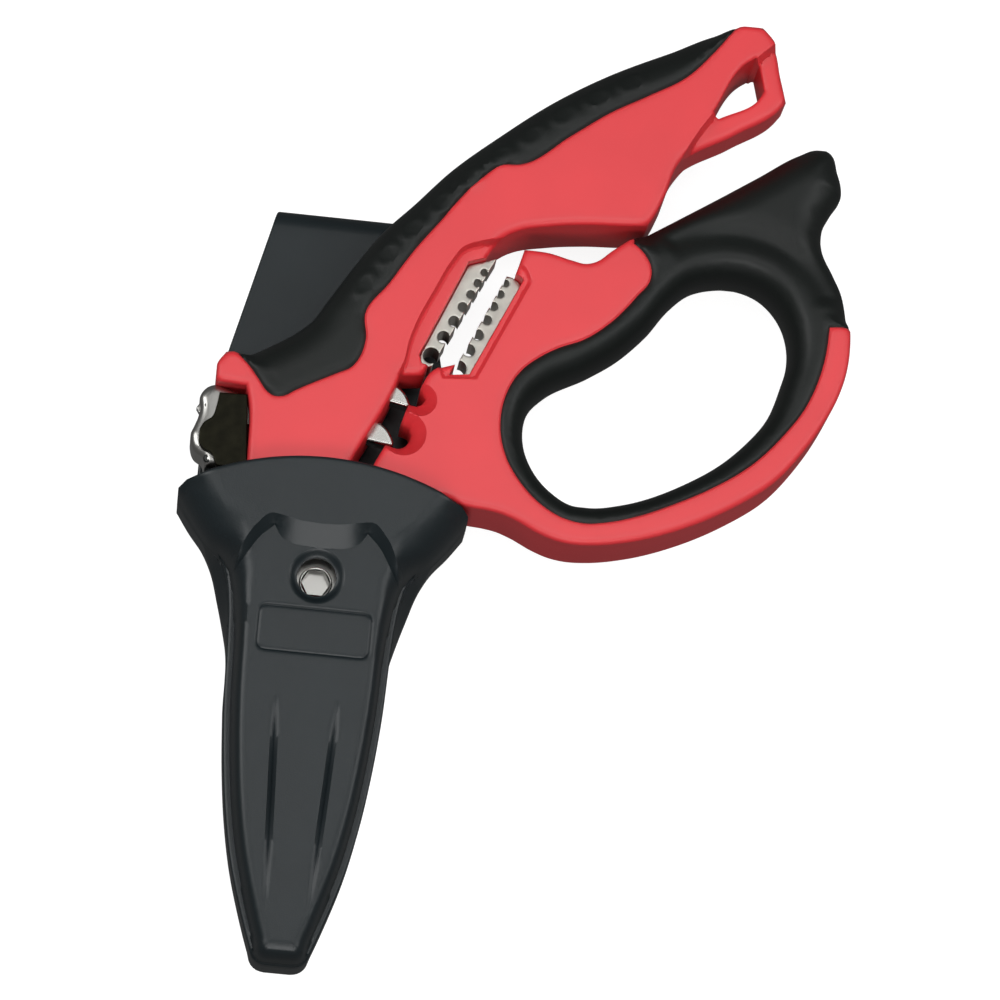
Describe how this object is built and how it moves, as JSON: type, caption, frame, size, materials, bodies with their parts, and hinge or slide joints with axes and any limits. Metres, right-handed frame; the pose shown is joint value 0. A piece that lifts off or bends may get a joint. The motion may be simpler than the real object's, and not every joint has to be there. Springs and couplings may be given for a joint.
{
  "type": "electrician's scissors with belt sheath",
  "caption": "Heavy-duty electrician's scissors with crimping dies and a finger ring, stowed in a moulded belt sheath and drawn out upwards as they open.",
  "frame": {"origin": "where the pivot axis meets the flat back face of the sheath", "axes": "+Y along the sheath from its tip towards the handles, +X to the right seen from the front, +Z out of the front panel along the pivot axis"},
  "size_m": [0.1313, 0.2006, 0.0321],
  "materials": {
    "sheath_nylon": "fine spark texture",
    "red_plastic": "satin moulded",
    "black_grip": "matte moulded",
    "blade_steel": "ground",
    "die_steel": "sintered, faces ground",
    "bright_steel": "polished",
    "dark_steel": "dark plated",
    "black_steel": "black oxide"
  },
  "bodies": {
    "sheath": {"sheath_front_shell": "sheath_nylon", "sheath_back_shell": "sheath_nylon", "belt_clip": "sheath_nylon", "clip_rivet_left": "dark_steel", "clip_rivet_right": "dark_steel"},
    "upper_half": {"upper_blade": "blade_steel", "upper_handle_shell": "red_plastic", "upper_grip": "black_grip", "upper_crimp_die": "die_steel", "indenter_small": "bright_steel", "indenter_large": "bright_steel", "pivot_bolt": "bright_steel", "pivot_washer": "bright_steel", "pivot_nut": "bright_steel", "catch_pin": "dark_steel"},
    "ring_half": {"ring_blade": "blade_steel", "ring_handle_shell": "red_plastic", "ring_grip": "black_grip", "ring_crimp_die": "die_steel"},
    "catch": {"lock_catch": "black_steel", "catch_hook_pin": "dark_steel"}
  },
  "joints": [
    {"name": "shears_draw", "type": "slide", "parent": "sheath", "child": "upper_half", "axis": [0, 1, 0], "range_m": [0, 0.22]},
    {"name": "blade_pivot", "type": "hinge", "parent": "upper_half", "child": "ring_half", "pos_m": [0, 0, 0.011], "axis": [0, 0, -1], "range_deg": [0, 34]},
    {"name": "catch_turn", "type": "hinge", "parent": "upper_half", "child": "catch", "pos_m": [-0.0246, 0.0335, 0.011], "axis": [0, 0, -1], "range_deg": [0, 12]}
  ],
  "couplings": [
    {"joint": "blade_pivot", "follows": "shears_draw", "rad_per_m": 2.6973}
  ]
}
